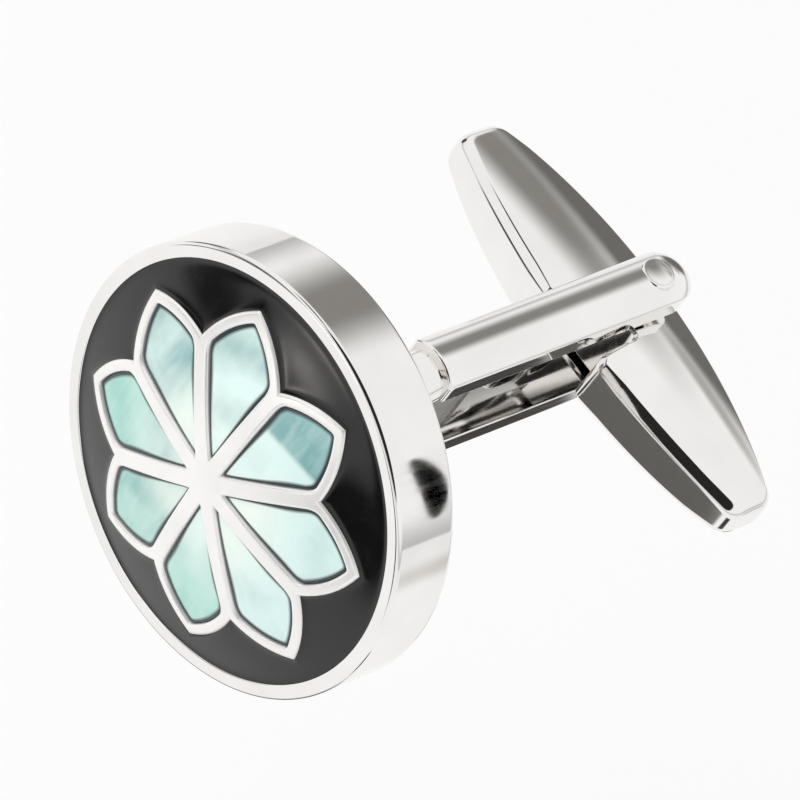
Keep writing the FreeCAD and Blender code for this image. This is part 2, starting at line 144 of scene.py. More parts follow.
class Plan:
    """All lengths of the cufflink in millimetres, worked out from the sizes on the panel."""

    def __init__(self, sizes):
        self.plan_head(sizes)
        self.plan_post(sizes)
        self.plan_toggle(sizes)

    def plan_head(self, sizes):
        self.head_r = sizes.head_diameter / MM / 2
        self.rim_height = sizes.rim_height / MM
        self.cell_r = self.head_r - sizes.rim_land / MM
        self.dish_depth = sizes.dish_depth / MM
        self.lip = 0.06
        face_rise = sizes.face_rise / MM
        self.face_radius = arc_radius(self.cell_r, face_rise)
        self.face_centre_y = self.lip - self.rim_height - face_rise + self.face_radius
        self.cell_depth = 0.45
        bedding = 0.02
        self.bed = bedding - self.cell_depth
        self.inlay_sink = 0.05
        self.wall = sizes.wall_width / MM
        self.spoke = sizes.spoke_width / MM
        self.proud = sizes.wall_proud / MM
        enamel_margin = 0.85
        self.petal_tip_r = self.cell_r - enamel_margin
        valley_depth = 1.7
        self.valley_r = self.petal_tip_r - valley_depth

    def plan_post(self, sizes):
        self.pivot_y = sizes.post_length / MM
        self.pin_r = 0.5
        self.arm_half = sizes.arm_width / MM / 2
        self.arm_inner_z = sizes.arm_gap / MM / 2
        arm_side = 0.85
        arm_dome = 0.55
        self.arm_side_z = self.arm_inner_z + arm_side
        self.arm_outer_z = self.arm_side_z + arm_dome
        past_pin = 1.75
        self.arm_turn_y = self.pivot_y + past_pin - self.arm_half
        self.neck_half = 1.0
        self.neck_high = 1.05
        collar_wall = 0.26
        self.collar_half_x = self.neck_half + collar_wall
        self.collar_half_z = self.neck_high + collar_wall
        self.collar_high = 0.8
        foot_rise = 2.45
        self.collar_y = foot_rise - self.dish_depth
        self.neck_y = self.collar_y + self.collar_high

    def plan_toggle(self, sizes):
        self.toggle_half = sizes.toggle_length / MM / 2
        side_play = 0.2
        self.toggle_side = self.arm_inner_z - side_play
        deck_drop = 3.2
        outer_rise = 1.9
        tip_drop = 0.65
        self.deck_y = self.pivot_y - deck_drop
        self.outer_y = self.pivot_y + outer_rise
        self.tip_y = self.pivot_y - tip_drop
        self.tip_depth = 2.1
        self.tip_half = 0.85
        self.nose = 0.75
        bore_play = 0.03
        self.bore = self.pin_r + bore_play
        spring_gap = 0.2
        detent_length = 2.05
        swing = math.hypot(self.toggle_half, tip_drop + self.tip_depth / 2)
        self.step_y = self.pivot_y - swing - spring_gap - detent_length

    def dome_y(self, radius, lift):
        """Height of the face's dome at a distance from its axis, lifted outwards by a length."""
        return self.face_centre_y - np.sqrt((self.face_radius + lift) ** 2 - radius ** 2)


class Sheets:
    """Collects grids of points, and turns them into one mesh."""

    def __init__(self):
        self.points = []
        self.faces = []
        self.count = 0
        self.values = []

    def grid(self, points, close_rows=False, close_columns=False, value=None, keep=None):
        """Adds a grid of points, rows by columns by three, as quads between neighbours, or those to keep."""
        rows, columns = points.shape[:2]
        index = np.arange(rows * columns).reshape(rows, columns) + self.count
        if close_rows:
            index = np.vstack([index, index[:1]])
        if close_columns:
            index = np.hstack([index, index[:, :1]])
        quads = np.stack([index[:-1, :-1], index[:-1, 1:], index[1:, 1:], index[1:, :-1]], axis=-1)
        self.points.append(points.reshape(-1, 3))
        self.faces.append(quads.reshape(-1, 4) if keep is None else quads[keep])
        if value is not None:
            self.values.append(value.reshape(rows * columns, -1))
        self.count += rows * columns

    def mesh(self, name, attributes=(), crease=30.0):
        """Merges the grids' shared edges, faces the shell outwards and keeps its crisp edges."""
        points = np.concatenate(self.points) * MM
        faces = np.concatenate(self.faces)
        mesh = bpy.data.meshes.new(name)
        mesh.vertices.add(len(points))
        mesh.vertices.foreach_set("co", points.astype(np.float32).ravel())
        mesh.loops.add(faces.size)
        mesh.loops.foreach_set("vertex_index", faces.astype(np.int32).ravel())
        mesh.polygons.add(len(faces))
        mesh.polygons.foreach_set("loop_start", np.arange(0, faces.size, 4, dtype=np.int32))
        for column, attribute in enumerate(attributes):
            layer = mesh.attributes.new(attribute, "FLOAT", "POINT")
            values = np.concatenate(self.values)[:, column]
            layer.data.foreach_set("value", np.ascontiguousarray(values, dtype=np.float32))
        mesh.update(calc_edges=True)
        shell = bmesh.new()
        shell.from_mesh(mesh)
        bmesh.ops.remove_doubles(shell, verts=shell.verts, dist=0.0005 * MM)
        bmesh.ops.dissolve_degenerate(shell, edges=shell.edges, dist=0.0002 * MM)
        bmesh.ops.recalc_face_normals(shell, faces=shell.faces)
        shell.to_mesh(mesh)
        shell.free()
        mesh.polygons.foreach_set("use_smooth", np.ones(len(mesh.polygons), dtype=bool))
        mesh.set_sharp_from_angle(angle=math.radians(crease))
        return mesh

    def place(self, name, coat, node, body=POST_BODY, attributes=(), crease=30.0):
        """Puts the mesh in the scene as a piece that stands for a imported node, with a finish."""
        mesh = self.mesh(name, attributes, crease)
        mesh.materials.append(finish(coat))
        piece = bpy.data.objects.new(name, mesh)
        bpy.context.scene.collection.objects.link(piece)
        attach(piece, body)
        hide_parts(node)


def joined(*axes):
    """Points or pairs from their coordinates, each spread over the same grid."""
    return np.stack(np.broadcast_arrays(*axes), axis=-1)


def ways_at(angle):
    """Unit pairs at angles."""
    return joined(np.cos(angle), np.sin(angle))


def full_turn(steps):
    """Even angles round a circle, in radians."""
    return np.linspace(0.0, 2 * np.pi, steps, endpoint=False)


def arc_points(centre, radius, start, end, count):
    """Points on a circle's arc between two angles in degrees, as pairs."""
    return np.asarray(centre) + radius * ways_at(np.radians(np.linspace(start, end, count)))


def run_points(start, end, count):
    """Evenly spaced points on a straight run, as pairs."""
    share = np.linspace(0.0, 1.0, count)[:, None]
    return np.asarray(start) * (1 - share) + np.asarray(end) * share


def about_post(radius, angle, height):
    """Points at a distance from the post's axis, an angle round it and a height along it."""
    return joined(radius * np.cos(angle), height, radius * np.sin(angle))


def turned(profile, steps):
    """A profile of radius and height carried round the post's axis."""
    return about_post(profile[:, 0], full_turn(steps)[:, None], profile[:, 1])


def rounded_edge(distance, radius):
    """Drop of a quarter-round edge at a distance from the edge: a circle's sagitta, none past it."""
    inside = np.clip(radius - distance, 0.0, radius)
    return radius - np.sqrt(radius ** 2 - inside ** 2)


class Step:
    """A step of the work, which makes its pieces by the sizes on the panel."""

    def execute(self, context):
        self.make(Plan(context.scene.cufflink_sizes))
        return {"FINISHED"}


# Finishes

def set_inputs(node, inputs):
    """Sets a node's named inputs, with an underscore for each space."""
    for name, value in inputs.items():
        node.inputs[name.replace("_", " ")].default_value = value


def new_material(name, **inputs):
    """A new finish with its node tree and its shader, whose named inputs are set."""
    material = bpy.data.materials.new(name)
    material.use_nodes = True
    shader = material.node_tree.nodes["Principled BSDF"]
    set_inputs(shader, inputs)
    return material, material.node_tree, shader


def add_node(tree, kind, **inputs):
    """A node with its named inputs set."""
    node = tree.nodes.new(kind)
    set_inputs(node, inputs)
    return node


def connect(tree, value, socket):
    """Links a socket to another, or sets it to a plain number or colour."""
    if isinstance(value, bpy.types.NodeSocket):
        tree.links.new(value, socket)
    elif socket.type == "RGBA":
        socket.default_value = (*value, 1.0)
    else:
        socket.default_value = value


def object_noise(tree, scale, detail, stretch=(1.0, 1.0, 1.0), distortion=0.0):
    """Noise over Object coordinates, with scale in features to the metre."""
    origin = tree.nodes.new("ShaderNodeTexCoord")
    mapping = add_node(tree, "ShaderNodeMapping", Scale=stretch)
    noise = add_node(tree, "ShaderNodeTexNoise", Scale=scale, Detail=detail, Distortion=distortion)
    tree.links.new(origin.outputs["Object"], mapping.inputs["Vector"])
    tree.links.new(mapping.outputs["Vector"], noise.inputs["Vector"])
    return noise.outputs["Fac"]


def spread(tree, source, low, high, from_low=0.3, from_high=0.7, smooth=False):
    """Carries a value between two levels."""
    node = add_node(tree, "ShaderNodeMapRange", From_Min=from_low, From_Max=from_high, To_Min=low,
                    To_Max=high)
    if smooth:
        node.interpolation_type = "SMOOTHSTEP"
    tree.links.new(source, node.inputs["Value"])
    return node.outputs["Result"]


def maths(tree, operation, first, second, clamp=False):
    """Two values added, multiplied or compared, of which each is a socket or a number."""
    node = tree.nodes.new("ShaderNodeMath")
    node.operation = operation
    node.use_clamp = clamp
    connect(tree, first, node.inputs[0])
    connect(tree, second, node.inputs[1])
    return node.outputs[0]


def carried(tree, name):
    """A value that the piece's own mesh carries."""
    node = tree.nodes.new("ShaderNodeAttribute")
    node.attribute_name = name
    return node.outputs["Fac"]


def colour_ramp(tree, source, low, middle, high):
    """A colour ramp of three even stops."""
    node = tree.nodes.new("ShaderNodeValToRGB")
    elements = node.color_ramp.elements
    elements[0].color = (*low, 1.0)
    elements[1].color = (*high, 1.0)
    elements.new(0.5).color = (*middle, 1.0)
    tree.links.new(source, node.inputs["Fac"])
    return node.outputs["Color"]


def mixed(tree, share, first, second):
    """Two colours mixed by a share; each is a socket or a plain colour."""
    node = tree.nodes.new("ShaderNodeMix")
    node.data_type = "RGBA"
    tree.links.new(share, node.inputs["Factor"])
    connect(tree, first, node.inputs[6])
    connect(tree, second, node.inputs[7])
    return node.outputs[2]


def scaled(tone, factor):
    """A colour made lighter or darker by a factor."""
    return tuple(factor * channel for channel in tone)


def bumped(tree, shader, source, strength, distance):
    """A fine relief on a finish, with its depth in metres."""
    node = add_node(tree, "ShaderNodeBump", Strength=strength, Distance=distance)
    tree.links.new(source, node.inputs["Height"])
    tree.links.new(node.outputs["Normal"], shader.inputs["Normal"])


def plated_metal(name, tone, smooth, rough, ripple, metallic=1.0):
    """Bright plating: hairline polish marks in the roughness and a faint ripple from the wheel."""
    material, tree, shader = new_material(name, Metallic=metallic)
    cloud = spread(tree, object_noise(tree, 420.0, 3.0), 0.0, 1.0)
    hair = object_noise(tree, 2600.0, 4.0, stretch=(1.0, 0.12, 1.0))
    tree.links.new(mixed(tree, cloud, tone, scaled(tone, 0.94)), shader.inputs["Base Color"])
    tree.links.new(spread(tree, hair, smooth, rough), shader.inputs["Roughness"])
    bumped(tree, shader, object_noise(tree, 700.0, 1.0), ripple, 0.02 * MM)
    return material


def black_enamel(name, tone):
    """Fired enamel: a deep black with a glossy skin, a faint orange-peel and pin specks."""
    material, tree, shader = new_material(name, IOR=1.5)
    specks = spread(tree, object_noise(tree, 5200.0, 2.0), 0.0, 1.0, 0.62, 0.75)
    speck_lift = 0.008
    grey = tuple(channel + speck_lift for channel in tone)
    tree.links.new(mixed(tree, specks, tone, grey), shader.inputs["Base Color"])
    wave = object_noise(tree, 900.0, 2.0)
    tree.links.new(spread(tree, wave, 0.1, 0.16), shader.inputs["Roughness"])
    bumped(tree, shader, wave, 0.05, 0.02 * MM)
    return material


def shell_inlay(name, tones):
    """Mother-of-pearl: pale, aqua and deep bands that each inlay carries, casts of green and cream, growth
    lines across them, and painted shade at the edge, where the wall's shadow falls into the sunk cell."""
    material, tree, shader = new_material(name, IOR=1.5)
    cloud = spread(tree, object_noise(tree, 520.0, 2.0, distortion=0.8), -0.16, 0.16)
    flame = maths(tree, "ADD", carried(tree, "shell_tone"), cloud, clamp=True)
    body = colour_ramp(tree, flame, tones.shell_pale, tones.shell_aqua, tones.shell_deep)
    tinted = mixed(tree, carried(tree, "green_cast"), body, tones.shell_green)
    lines = object_noise(tree, 2100.0, 3.0, stretch=(1.0, 1.0, 0.16))
    fine = mixed(tree, spread(tree, lines, 0.0, 0.35, 0.45, 0.75), tinted, tones.shell_pale)
    warm = mixed(tree, carried(tree, "cream_cast"), fine, tones.shell_cream)
    # Painted shade: the seam colour darkens a thin band along the inlay's edge, where the wall's shadow
    # falls.
    seam = spread(tree, carried(tree, "wall_shade_distance"), 1.0, 0.0, 0.1, 0.2)
    tree.links.new(mixed(tree, seam, warm, tones.seam), shader.inputs["Base Color"])
    tree.links.new(spread(tree, lines, 0.12, 0.22), shader.inputs["Roughness"])
    return material


def drawn_steel(name, tone):
    """Unplated steel: drawn grain along the post in colour, roughness and relief."""
    material, tree, shader = new_material(name, Metallic=1.0)
    grain = object_noise(tree, 3800.0, 4.0, stretch=(1.0, 0.08, 1.0))
    streaks = spread(tree, grain, 0.0, 1.0)
    tree.links.new(mixed(tree, streaks, tone, scaled(tone, 0.55)), shader.inputs["Base Color"])
    tree.links.new(spread(tree, grain, 0.22, 0.4), shader.inputs["Roughness"])
    bumped(tree, shader, grain, 0.15, 0.01 * MM)
    return material


def finish(name):
    """A finish by name, made when it is first asked for."""
    found = bpy.data.materials.get(name)
    if found:
        return found
    tones = bpy.context.scene.cufflink_colours
    if name == "polished_plating":
        return plated_metal(name, tones.silver, smooth=0.04, rough=0.09, ripple=0.06)
    if name == "satin_plating":
        whiter = scaled(tones.silver, 1.045)
        return plated_metal(name, whiter, smooth=0.28, rough=0.38, ripple=0.1, metallic=0.6)
    if name == "fired_enamel":
        return black_enamel(name, tones.enamel)
    if name == "pearl_shell":
        return shell_inlay(name, tones)
    if name == "drawn_steel":
        return drawn_steel(name, tones.steel)
    if name == "spring_steel":
        return drawn_steel(name, tones.spring)
    raise ValueError("no finish is named " + name)


# Head

def head_profile(plan):
    """Half section of the head: cell floor, border, rounded rim, flat ring and dished back."""
    front = -plan.rim_height
    lip = plan.lip
    cell_wall = 0.2
    rim_round = 0.18
    back_round = 0.25
    clear = 0.02
    ring = 0.45
    dish_edge = plan.head_r - ring
    dish_radius = arc_radius(dish_edge, plan.dish_depth)
    floor_r = np.linspace(0.0, plan.cell_r, 24)
    dish_r = np.linspace(dish_edge, 0.0, 60)
    return np.concatenate([
        joined(floor_r, plan.dome_y(floor_r, -plan.cell_depth)),
        run_points((plan.cell_r, front + cell_wall), (plan.cell_r, front + lip), 3),
        arc_points((plan.cell_r + lip, front + lip), lip, 180, 270, 6)[1:],
        run_points((plan.cell_r + lip + 2 * clear, front), (plan.head_r - rim_round - 2 * clear, front), 5),
        arc_points((plan.head_r - rim_round, front + rim_round), rim_round, 270, 360, 12),
        run_points((plan.head_r, front + rim_round + clear), (plan.head_r, -back_round - clear), 10),
        arc_points((plan.head_r - back_round, -back_round), back_round, 0, 90, 12),
        joined(dish_r, dish_radius - plan.dish_depth - np.sqrt(dish_radius ** 2 - dish_r ** 2)),
    ])


class CUFFLINK_OT_head(Step, bpy.types.Operator):
    """Turn the head: the half section goes round the post's axis in a full circle"""

    bl_idname = "cufflink.head"
    bl_label = "Head"

    def make(self, plan):
        sheets = Sheets()
        sheets.grid(turned(head_profile(plan), 288), close_rows=True)
        sheets.place("head_turned", "polished_plating", "head_shell")


# Flower

def eased_least(first, second, ease):
    """The lesser of two lengths, with the corner between them rounded over a length."""
    near = np.clip(ease - np.abs(first - second), 0.0, None) / ease
    return np.minimum(first, second) - near ** 2 * ease / 4


class Petal:
    """Plan of one petal along +X: two discs and two spoke lines bound the metal, and the cell inside it."""

    def __init__(self, plan):
        valley = plan.valley_r * np.array([math.cos(HALF_PETAL), math.sin(HALF_PETAL)])
        tip = np.array([plan.petal_tip_r, 0.0])
        chord = tip - valley
        outward = np.array([-chord[1], chord[0]]) / np.hypot(*chord)
        if outward @ valley < 0:
            outward = -outward
        bulge = 0.25
        self.radius = arc_radius(np.hypot(*chord) / 2, bulge)
        upper = (valley + tip) / 2 + outward * (bulge - self.radius)
        self.centres = np.array([upper, upper * (1, -1)])
        self.inner = self.radius - plan.wall
        self.root = np.array([plan.spoke / 2 / math.sin(HALF_PETAL), 0.0])
        self.normals = np.array([[-math.sin(HALF_PETAL), math.cos(HALF_PETAL)],
                                 [-math.sin(HALF_PETAL), -math.cos(HALF_PETAL)]])
        past_half = 0.35
        self.middle = np.array([(self.root[0] + plan.petal_tip_r) / 2 + past_half, 0.0])
        to_valley = valley - self.middle
        self.valley_turn = math.atan2(to_valley[1], to_valley[0])

    def turns(self, near, far):
        """Directions from the middle, with the tip, the valleys and the centre among them."""
        front = np.linspace(0.0, self.valley_turn, near, endpoint=False)
        back = np.linspace(self.valley_turn, np.pi, far, endpoint=False)
        half = np.concatenate([front, back])
        return np.concatenate([half, [np.pi], 2 * np.pi - half[:0:-1]])

    def rings(self, ways, reach):
        """Plan points at a reach from the middle in each direction."""
        return self.middle + ways[:, None, :] * reach[..., None]

    def to_disc(self, ways, origin, radius):
        """How far a ray goes from an origin inside two discs before it leaves each of them."""
        offset = self.centres - origin
        along = ways @ offset.T
        return (along + np.sqrt(along ** 2 - (offset ** 2).sum(axis=1) + radius ** 2)).T

    def to_line(self, ways, point):
        """How far a ray from the middle goes to each of the two spoke lines through a point."""
        slope = ways @ self.normals.T
        gap = (point - self.middle) @ self.normals.T
        return np.where(slope > 1e-6, gap / np.maximum(slope, 1e-6), 1e3).T

    def cell_reach(self, ways):
        """Edge of the inlay from the middle: the nearest of two arcs and two lines, with eased corners."""
        tip_ease = 0.12
        root_ease = 0.2
        side_ease = 0.3
        arcs = eased_least(*self.to_disc(ways, self.middle, self.inner), tip_ease)
        lines = eased_least(*self.to_line(ways, self.root), root_ease)
        return eased_least(arcs, lines, side_ease)

    def outer_reach(self, ways):
        """Edge of the petal's share of metal from the middle: the outline's arcs and the spokes' middles."""
        arcs = self.to_disc(ways, self.middle, self.radius)
        lines = self.to_line(ways, np.zeros(2))
        return np.minimum(arcs.min(axis=0), lines.min(axis=0))

    def outline_radius(self, angle):
        """The flower's outline from the head's axis, at angles from the petal's axis."""
        return self.to_disc(ways_at(angle), np.zeros(2), self.radius).min(axis=0)

    def outline_distance(self, points):
        """Distance inside the flower's outline: what is left of the nearer disc's radius."""
        gaps = [self.radius - np.hypot(*np.moveaxis(points - centre, -1, 0)) for centre in self.centres]
        return np.minimum(*gaps)


def petal_turn(number):
    """Angle of a petal's middle line round the head."""
    return (2 * number + 1) * HALF_PETAL


def on_dome(plan, flat, lift, turn):
    """Plan points turned about the head's axis and set on the face's dome at a lift."""
    x = flat[..., 0] * math.cos(turn) - flat[..., 1] * math.sin(turn)
    z = flat[..., 0] * math.sin(turn) + flat[..., 1] * math.cos(turn)
    return joined(x, plan.dome_y(np.hypot(x, z), lift), z)


def at_each_petal(plan, flat, lift):
    """Tops at a lift over the dome, and undersides on the cell's bed, at each petal in turn."""
    for number in range(PETALS):
        turn = petal_turn(number)
        yield on_dome(plan, flat, lift, turn), on_dome(plan, flat[:, ::-1], plan.bed, turn)


class CUFFLINK_OT_enamel(Step, bpy.types.Operator):
    """Pour the enamel: rings from the flower's outline to the border, on the dome, drawn up a little at
    both"""

    bl_idname = "cufflink.enamel"
    bl_label = "Enamel"

    def make(self, plan):
        local = np.linspace(-HALF_PETAL, HALF_PETAL, 96, endpoint=False)
        inner = np.tile(Petal(plan).outline_radius(local), PETALS)[:, None]
        angle = np.concatenate([local + petal_turn(number) for number in range(PETALS)])[:, None]
        near_edge = np.array([0.0, 0.01, 0.025, 0.05])
        share = np.concatenate([near_edge, np.linspace(0.09, 0.91, 16), 1 - near_edge[::-1]])
        radius = inner * (1 - share) + plan.cell_r * share
        near = np.minimum(radius - inner, plan.cell_r - radius)
        drawn_up = 0.05
        drawn_from = 0.12
        sink = 0.02
        top = about_post(radius, angle, plan.dome_y(radius, drawn_up * np.exp(-near / drawn_from) - sink))
        under_r = radius[:, [0, -1]]
        under = about_post(under_r, angle, plan.dome_y(under_r, plan.bed))
        sheets = Sheets()
        sheets.grid(np.concatenate([under[:, :1], top, under[:, 1:]], axis=1), close_rows=True,
                    close_columns=True)
        sheets.place("enamel_poured", "fired_enamel", "enamel_ground", crease=50.0)


class CUFFLINK_OT_flower(Step, bpy.types.Operator):
    """Cast the flower: in each petal, rings from the inlay's edge to the outline and the spokes' middles,
    on the dome, with both top edges rounded"""

    bl_idname = "cufflink.flower"
    bl_label = "Flower walls"

    def make(self, plan):
        petal = Petal(plan)
        turns = petal.turns(40, 64)
        ways = ways_at(turns)
        inner = petal.cell_reach(ways)[:, None]
        outer = petal.outer_reach(ways)[:, None]
        near_edge = np.array([0.0, 0.03, 0.07, 0.13, 0.2])
        share = np.concatenate([near_edge, np.linspace(0.3, 0.7, 6), 1 - near_edge[::-1]])
        reach = inner + (outer - inner) * share
        flat = petal.rings(ways, reach)
        edge = 0.13
        from_outline = np.clip(petal.outline_distance(flat), 0.0, None)
        lift = plan.proud - rounded_edge(reach - inner, edge) - rounded_edge(from_outline, edge)
        wall = np.abs((turns + np.pi) % (2 * np.pi) - np.pi) <= petal.valley_turn + 1e-9
        order = np.roll(np.arange(len(turns)), -int(np.argmax(~wall)))
        order = order[wall[order]]
        sheets = Sheets()
        for top, under in at_each_petal(plan, flat, lift):
            sheets.grid(np.concatenate([under, top], axis=1), close_rows=True)
            sheets.grid(np.stack([top[order, -1], under[order, 0]], axis=1))
        sheets.place("flower_cast", "satin_plating", "flower_fret", crease=50.0)


# How each inlay was cut from the shell: mean tone, swing of its bands, their bearing in degrees and start,
# casts of green and cream, and the step in tone over a fold that lies across it
CUTS = (
    (0.02, 0.1, 20.0, 0.5, 0.05, 0.8, 0.0),
    (0.0, 0.06, 95.0, 2.2, 0.05, 0.3, 1.0),
    (0.22, 0.24, 130.0, 1.0, 0.0, 0.3, 0.12),
    (0.56, 0.2, 160.0, 4.1, 0.0, 0.8, 0.1),
    (0.52, 0.14, 60.0, 0.2, 0.7, 0.35, 0.0),
    (0.6, 0.14, 110.0, 2.6, 0.5, 0.6, 0.12),
    (0.24, 0.14, 30.0, 5.0, 0.65, 0.4, 0.0),
    (0.0, 0.1, 75.0, 3.3, 0.0, 0.8, 0.0),
)


def shell_bands(flat, cut):
    """Tone, green cast and cream cast of an inlay: a wavering sine across the bands' bearing with a step past
    the fold, and casts that grow away from the head's axis and towards it."""
    tone, swing, bearing, start, green, cream, fold = cut
    x, z = np.moveaxis(flat, -1, 0)
    way = math.radians(bearing)
    along = x * math.cos(way) + z * math.sin(way)
    across = z * math.cos(way) - x * math.sin(way)
    waver = 0.7 * np.sin(1.5 * across)
    wave = np.sin(2.6 * along + start + waver)
    fold_width = 0.35
    step = np.clip((along - along.mean()) / fold_width + 0.5, 0.0, 1.0)
    flame = tone + swing * wave + fold * step ** 2 * (3 - 2 * step)
    reach = np.hypot(x, z)
    outer_share = np.clip((reach - 2.0) / 3.5, 0.0, 1.0)
    inner_share = np.clip((4.4 - reach) / 2.0, 0.0, 1.0)
    return flame, green * outer_share, cream * inner_share


class CUFFLINK_OT_petals(Step, bpy.types.Operator):
    """Set the inlays: rings from each petal's middle to its cell's edge, on the dome, just under the walls"""

    bl_idname = "cufflink.petals"
    bl_label = "Shell inlays"

    def make(self, plan):
        petal = Petal(plan)
        ways = ways_at(petal.turns(32, 52))
        inner = petal.cell_reach(ways)[:, None]
        share = np.concatenate([np.linspace(0.0, 0.8, 17), [0.84, 0.87, 0.905, 0.935, 0.96, 0.98, 1.0]])
        reach = inner * share
        # Rays meet the cell's edge at a slant, so an edge is nearer than the way left along a ray
        slant = 0.8
        gap = (inner - reach) * slant
        edge = 0.07
        lift = -plan.inlay_sink - rounded_edge(gap, edge)
        tops = at_each_petal(plan, petal.rings(ways, reach), lift)
        for number, ((top, under), cut) in enumerate(zip(tops, CUTS), start=1):
            # The gap to the cell's edge also places the painted wall shade on each inlay.
            values = joined(gap, *shell_bands(top[..., ::2], cut))
            sheets = Sheets()
            sheets.grid(np.concatenate([top, under], axis=1), close_rows=True,
                        value=np.concatenate([values, values[:, ::-1]], axis=1))
            sheets.place("inlay_%d" % number, "pearl_shell", "petal_inlay_%d" % number, crease=50.0,
                         attributes=("wall_shade_distance", "shell_tone", "green_cast", "cream_cast"))


# Post

def oblong(half_x, half_z, corner, steps=10):
    """A round-cornered rectangle: four quarter circles about the corners' centres, as pairs of x and z."""
    quarter = np.linspace(0.0, np.pi / 2, steps)
    angle = (quarter[None, :] + np.arange(4)[:, None] * np.pi / 2).ravel()
    side_x = np.repeat([1, -1, -1, 1], steps)
    side_z = np.repeat([1, 1, -1, -1], steps)
    return joined(side_x * (half_x - corner) + corner * np.cos(angle),
                  side_z * (half_z - corner) + corner * np.sin(angle))


def stacked_oblongs(height, half_x, half_z):
    """Oblongs stacked along the post, closed at both ends by shrinking to the axis."""
    corner_share = 0.6
    corner = corner_share * np.minimum(half_x, half_z)
    loop = oblong(half_x[:, None], half_z[:, None], corner[:, None])
    rows = joined(loop[..., 0], height[:, None], loop[..., 1])
    ends = rows[[0, -1]] * (0.0, 1.0, 0.0)
    return np.concatenate([ends[:1], rows, ends[1:]])


class CUFFLINK_OT_foot(Step, bpy.types.Operator):
    """Seat the foot and its collar: oblongs stacked along the post, whose sides flare with the square of
    the depth in the foot, and dip in a groove in the collar"""

    bl_idname = "cufflink.foot"
    bl_label = "Foot and collar"

    def make(self, plan):
        foot_depth = 2.95
        foot_half_x = 1.8
        foot_half_z = 1.9
        lean = 0.0505
        curl = 0.0978
        depth = np.linspace(foot_depth, 0.0, 40)
        flare = lean * depth + curl * depth ** 2
        foot = Sheets()
        foot.grid(stacked_oblongs(plan.collar_y - depth,
                                  plan.collar_half_x + flare * (foot_half_x - plan.collar_half_x),
                                  plan.collar_half_z + flare * (foot_half_z - plan.collar_half_z)),
                  close_columns=True)
        foot.place("foot_flared", "polished_plating", "post_foot")
        rise = np.linspace(0.0, plan.collar_high, 49)
        edge = 0.1
        groove_depth = 0.09
        groove_width = 0.07
        groove = groove_depth * np.exp(-((rise - plan.collar_high / 2) / groove_width) ** 2)
        inset = rounded_edge(np.minimum(rise, plan.collar_high - rise), edge) + groove
        collar = Sheets()
        collar.grid(stacked_oblongs(plan.collar_y + rise, plan.collar_half_x - inset,
                                    plan.collar_half_z - inset), close_columns=True)
        collar.place("collar_crimped", "polished_plating", "crimp_collar")


def bar_profile(plan):
    """Half section of an arm, from its crown: a circle's arc, an eased shoulder, the side and the inner
    edge."""
    half = plan.arm_half
    crown = arc_radius(half, plan.arm_outer_z - plan.arm_side_z)
    centre = plan.arm_outer_z - crown
    ease = 0.2
    shoulder_z = centre + math.sqrt((crown - ease) ** 2 - (half - ease) ** 2)
    lean = math.degrees(math.atan2(shoulder_z - centre, half - ease))
    edge = 0.05
    clear = 0.01
    edge_z = plan.arm_inner_z + edge
    return np.concatenate([
        arc_points((0.0, centre), crown, 90, lean, 24)[:-1],
        arc_points((half - ease, shoulder_z), ease, lean, 0, 10),
        run_points((half, shoulder_z - ease / 2), (half, edge_z + clear), 5),
        arc_points((half - edge, edge_z), edge, 0, -90, 5),
    ])


def bar_path(plan):
    """Stations round an arm's plan: up one side, half a turn about the pivot's end, and back. Each has a base
    point on the middle line, a sideways direction and how far the heel's round draws it in."""
    ease = 0.14
    clear = 0.2
    bend = np.linspace(np.pi / 2, 0.0, 6)
    run = np.linspace(plan.step_y + ease + clear, plan.arm_turn_y - clear, 14)
    side_y = np.concatenate([plan.step_y + ease * (1 - np.sin(bend)), run])
    side_in = np.concatenate([ease * (1 - np.cos(bend)), np.zeros(len(run))])
    turn = np.linspace(0.0, np.pi, 49)
    base_y = np.concatenate([side_y, np.full(len(turn), plan.arm_turn_y), side_y[::-1]])
    drawn_in = np.concatenate([side_in, np.zeros(len(turn)), side_in[::-1]])
    angle = np.concatenate([np.zeros(len(side_y)), turn, np.full(len(side_y), np.pi)])
    return base_y[:, None], angle[:, None], drawn_in[:, None]


def arm_bar(plan, sheets, sign):
    """An arm's bar: its half section carried round the stations, on the upper or the lower side, with its
    heel and its inner face closed straight across."""
    profile = bar_profile(plan)
    base_y, angle, drawn_in = bar_path(plan)
    middle_z = (plan.arm_inner_z + plan.arm_outer_z) / 2
    shrink = 1 - drawn_in / plan.arm_half
    reach = profile[:, 0] * shrink
    height = middle_z + (profile[:, 1] - middle_z) * shrink
    points = joined(reach * np.cos(angle), base_y + reach * np.sin(angle), height * sign)
    middle = len(points) // 2
    sheets.grid(points)
    sheets.grid(points[[0, -1]])
    sheets.grid(np.stack([points[:middle + 1, -1], points[:middle - 1:-1, -1]], axis=1))


def neck_section(plan):
    """Round-shouldered section of a neck, as pairs of x and rise."""
    half = plan.neck_half
    high = plan.neck_high
    ease = 0.79
    edge = 0.05
    right = np.concatenate([
        run_points((0.0, 0.0), (half - edge, 0.0), 4),
        arc_points((half - edge, edge), edge, -90, 0, 4)[1:],
        arc_points((half - ease, high - ease), ease, 0, 90, 16),
        run_points((half - ease - edge, high), (0.0, high), 3),
    ])
    return np.concatenate([right, right[-2:0:-1] * (-1, 1)])


